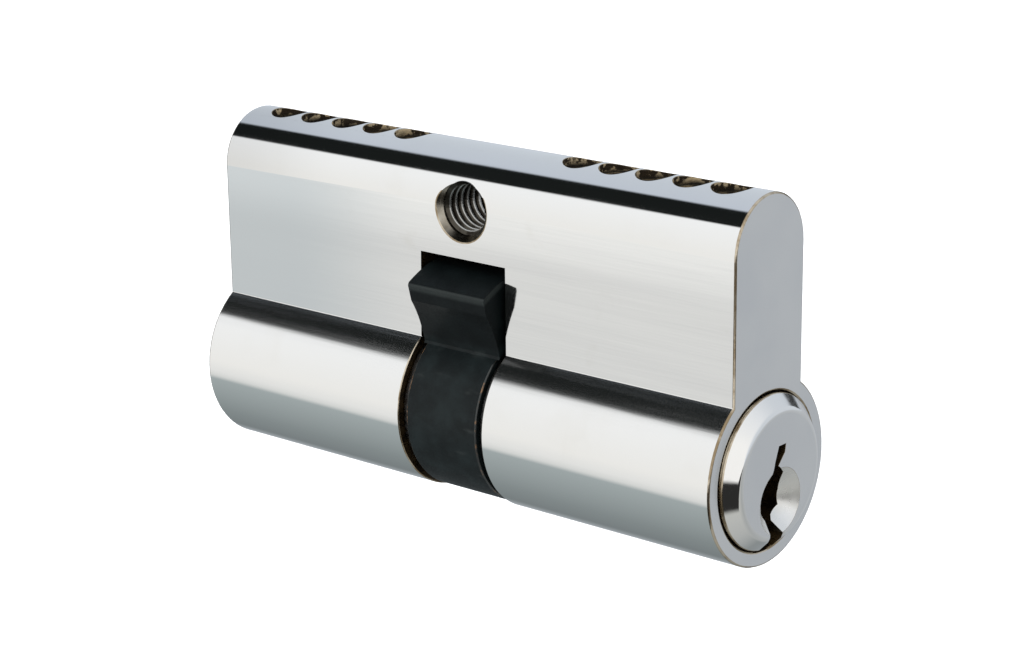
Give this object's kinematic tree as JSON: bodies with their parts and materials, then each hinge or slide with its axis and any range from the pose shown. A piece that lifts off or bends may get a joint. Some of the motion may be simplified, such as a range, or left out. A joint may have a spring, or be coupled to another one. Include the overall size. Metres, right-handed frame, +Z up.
{
  "type": "euro profile lock cylinder",
  "caption": "Double euro profile lock cylinder: round barrel under a flange, a keyed plug at each end, a black cam lever in the middle slot and a threaded fixing hole.",
  "frame": {"origin": "on the plug axis, midway along the cam, straight below the fixing screw hole", "axes": "+X along the plug axis towards the outer end face, +Z up from the barrel towards the flange, +Y across the flange"},
  "size_m": [0.0628, 0.017, 0.033],
  "materials": {
    "nickel_housing": "bright nickel plate on brass, with faint polishing lines along the flange",
    "nickel_plug": "bright nickel plate on brass, fine satin face and polished bevel",
    "black_cam": "satin black finish on sintered steel, worn to copper brown along its edges",
    "spring_steel": "dark oiled spring steel",
    "clutch_steel": "plain turned and milled steel",
    "pin_brass": "turned brass",
    "spring_wire": "drawn stainless wire",
    "cap_brass": "dull brass with a punched dimple"
  },
  "bodies": {
    "housing": {"housing": "nickel_housing", "pin_spring_outer_1": "spring_wire", "pin_spring_outer_2": "spring_wire", "pin_spring_outer_3": "spring_wire", "pin_spring_outer_4": "spring_wire", "pin_spring_outer_5": "spring_wire", "pin_spring_inner_1": "spring_wire", "pin_spring_inner_2": "spring_wire", "pin_spring_inner_3": "spring_wire", "pin_spring_inner_4": "spring_wire", "pin_spring_inner_5": "spring_wire", "chamber_cap_outer_1": "cap_brass", "chamber_cap_outer_2": "cap_brass", "chamber_cap_outer_3": "cap_brass", "chamber_cap_outer_4": "cap_brass", "chamber_cap_outer_5": "cap_brass", "chamber_cap_inner_1": "cap_brass", "chamber_cap_inner_2": "cap_brass", "chamber_cap_inner_3": "cap_brass", "chamber_cap_inner_4": "cap_brass", "chamber_cap_inner_5": "cap_brass"},
    "plug_outer": {"plug_outer": "nickel_plug", "retaining_clip_outer": "spring_steel"},
    "plug_inner": {"plug_inner": "nickel_plug", "retaining_clip_inner": "spring_steel"},
    "cam": {"cam": "black_cam"},
    "clutch_outer": {"clutch_outer": "clutch_steel"},
    "clutch_inner": {"clutch_inner": "clutch_steel"},
    "key_pin_outer_1": {"key_pin_outer_1": "pin_brass"},
    "key_pin_outer_2": {"key_pin_outer_2": "pin_brass"},
    "key_pin_outer_3": {"key_pin_outer_3": "pin_brass"},
    "key_pin_outer_4": {"key_pin_outer_4": "pin_brass"},
    "key_pin_outer_5": {"key_pin_outer_5": "pin_brass"},
    "key_pin_inner_1": {"key_pin_inner_1": "pin_brass"},
    "key_pin_inner_2": {"key_pin_inner_2": "pin_brass"},
    "key_pin_inner_3": {"key_pin_inner_3": "pin_brass"},
    "key_pin_inner_4": {"key_pin_inner_4": "pin_brass"},
    "key_pin_inner_5": {"key_pin_inner_5": "pin_brass"},
    "driver_pin_outer_1": {"driver_pin_outer_1": "pin_brass"},
    "driver_pin_outer_2": {"driver_pin_outer_2": "pin_brass"},
    "driver_pin_outer_3": {"driver_pin_outer_3": "pin_brass"},
    "driver_pin_outer_4": {"driver_pin_outer_4": "pin_brass"},
    "driver_pin_outer_5": {"driver_pin_outer_5": "pin_brass"},
    "driver_pin_inner_1": {"driver_pin_inner_1": "pin_brass"},
    "driver_pin_inner_2": {"driver_pin_inner_2": "pin_brass"},
    "driver_pin_inner_3": {"driver_pin_inner_3": "pin_brass"},
    "driver_pin_inner_4": {"driver_pin_inner_4": "pin_brass"},
    "driver_pin_inner_5": {"driver_pin_inner_5": "pin_brass"}
  },
  "joints": [
    {"name": "plug_outer_turn", "type": "hinge", "parent": "housing", "child": "plug_outer", "pos_m": [0, 0, 0], "axis": [1, 0, 0], "continuous": true},
    {"name": "cam_turn", "type": "hinge", "parent": "housing", "child": "cam", "pos_m": [0, 0, 0], "axis": [1, 0, 0], "continuous": true},
    {"name": "plug_inner_turn", "type": "hinge", "parent": "housing", "child": "plug_inner", "pos_m": [0, 0, 0], "axis": [1, 0, 0], "continuous": true},
    {"name": "clutch_outer_slide", "type": "slide", "parent": "plug_outer", "child": "clutch_outer", "axis": [1, 0, 0], "range_m": [0, 0.0017]},
    {"name": "clutch_inner_slide", "type": "slide", "parent": "plug_inner", "child": "clutch_inner", "axis": [1, 0, 0], "range_m": [0, 0.0017]},
    {"name": "key_pin_outer_1_slide", "type": "slide", "parent": "plug_outer", "child": "key_pin_outer_1", "axis": [0, 0, 1], "range_m": [0, 0.00155]},
    {"name": "key_pin_outer_2_slide", "type": "slide", "parent": "plug_outer", "child": "key_pin_outer_2", "axis": [0, 0, 1], "range_m": [0, 0.00085]},
    {"name": "key_pin_outer_3_slide", "type": "slide", "parent": "plug_outer", "child": "key_pin_outer_3", "axis": [0, 0, 1], "range_m": [0, 0.00185]},
    {"name": "key_pin_outer_4_slide", "type": "slide", "parent": "plug_outer", "child": "key_pin_outer_4", "axis": [0, 0, 1], "range_m": [0, 0.00115]},
    {"name": "key_pin_outer_5_slide", "type": "slide", "parent": "plug_outer", "child": "key_pin_outer_5", "axis": [0, 0, 1], "range_m": [0, 0.00215]},
    {"name": "key_pin_inner_1_slide", "type": "slide", "parent": "plug_inner", "child": "key_pin_inner_1", "axis": [0, 0, 1], "range_m": [0, 0.00155]},
    {"name": "key_pin_inner_2_slide", "type": "slide", "parent": "plug_inner", "child": "key_pin_inner_2", "axis": [0, 0, 1], "range_m": [0, 0.00085]},
    {"name": "key_pin_inner_3_slide", "type": "slide", "parent": "plug_inner", "child": "key_pin_inner_3", "axis": [0, 0, 1], "range_m": [0, 0.00185]},
    {"name": "key_pin_inner_4_slide", "type": "slide", "parent": "plug_inner", "child": "key_pin_inner_4", "axis": [0, 0, 1], "range_m": [0, 0.00115]},
    {"name": "key_pin_inner_5_slide", "type": "slide", "parent": "plug_inner", "child": "key_pin_inner_5", "axis": [0, 0, 1], "range_m": [0, 0.00215]},
    {"name": "driver_pin_outer_1_slide", "type": "slide", "parent": "housing", "child": "driver_pin_outer_1", "axis": [0, 0, 1], "range_m": [0, 0.003], "stiffness_N_per_m": 60, "springref_m": -0.005, "deforming": ["pin_spring_outer_1"]},
    {"name": "driver_pin_outer_2_slide", "type": "slide", "parent": "housing", "child": "driver_pin_outer_2", "axis": [0, 0, 1], "range_m": [0, 0.003], "stiffness_N_per_m": 60, "springref_m": -0.005, "deforming": ["pin_spring_outer_2"]},
    {"name": "driver_pin_outer_3_slide", "type": "slide", "parent": "housing", "child": "driver_pin_outer_3", "axis": [0, 0, 1], "range_m": [0, 0.003], "stiffness_N_per_m": 60, "springref_m": -0.005, "deforming": ["pin_spring_outer_3"]},
    {"name": "driver_pin_outer_4_slide", "type": "slide", "parent": "housing", "child": "driver_pin_outer_4", "axis": [0, 0, 1], "range_m": [0, 0.003], "stiffness_N_per_m": 60, "springref_m": -0.005, "deforming": ["pin_spring_outer_4"]},
    {"name": "driver_pin_outer_5_slide", "type": "slide", "parent": "housing", "child": "driver_pin_outer_5", "axis": [0, 0, 1], "range_m": [0, 0.003], "stiffness_N_per_m": 60, "springref_m": -0.005, "deforming": ["pin_spring_outer_5"]},
    {"name": "driver_pin_inner_1_slide", "type": "slide", "parent": "housing", "child": "driver_pin_inner_1", "axis": [0, 0, 1], "range_m": [0, 0.003], "stiffness_N_per_m": 60, "springref_m": -0.005, "deforming": ["pin_spring_inner_1"]},
    {"name": "driver_pin_inner_2_slide", "type": "slide", "parent": "housing", "child": "driver_pin_inner_2", "axis": [0, 0, 1], "range_m": [0, 0.003], "stiffness_N_per_m": 60, "springref_m": -0.005, "deforming": ["pin_spring_inner_2"]},
    {"name": "driver_pin_inner_3_slide", "type": "slide", "parent": "housing", "child": "driver_pin_inner_3", "axis": [0, 0, 1], "range_m": [0, 0.003], "stiffness_N_per_m": 60, "springref_m": -0.005, "deforming": ["pin_spring_inner_3"]},
    {"name": "driver_pin_inner_4_slide", "type": "slide", "parent": "housing", "child": "driver_pin_inner_4", "axis": [0, 0, 1], "range_m": [0, 0.003], "stiffness_N_per_m": 60, "springref_m": -0.005, "deforming": ["pin_spring_inner_4"]},
    {"name": "driver_pin_inner_5_slide", "type": "slide", "parent": "housing", "child": "driver_pin_inner_5", "axis": [0, 0, 1], "range_m": [0, 0.003], "stiffness_N_per_m": 60, "springref_m": -0.005, "deforming": ["pin_spring_inner_5"]}
  ],
  "couplings": [
    {"joint": "cam_turn", "follows": "plug_outer_turn", "ratio": 1},
    {"joint": "clutch_inner_slide", "follows": "clutch_outer_slide", "ratio": 1}
  ]
}
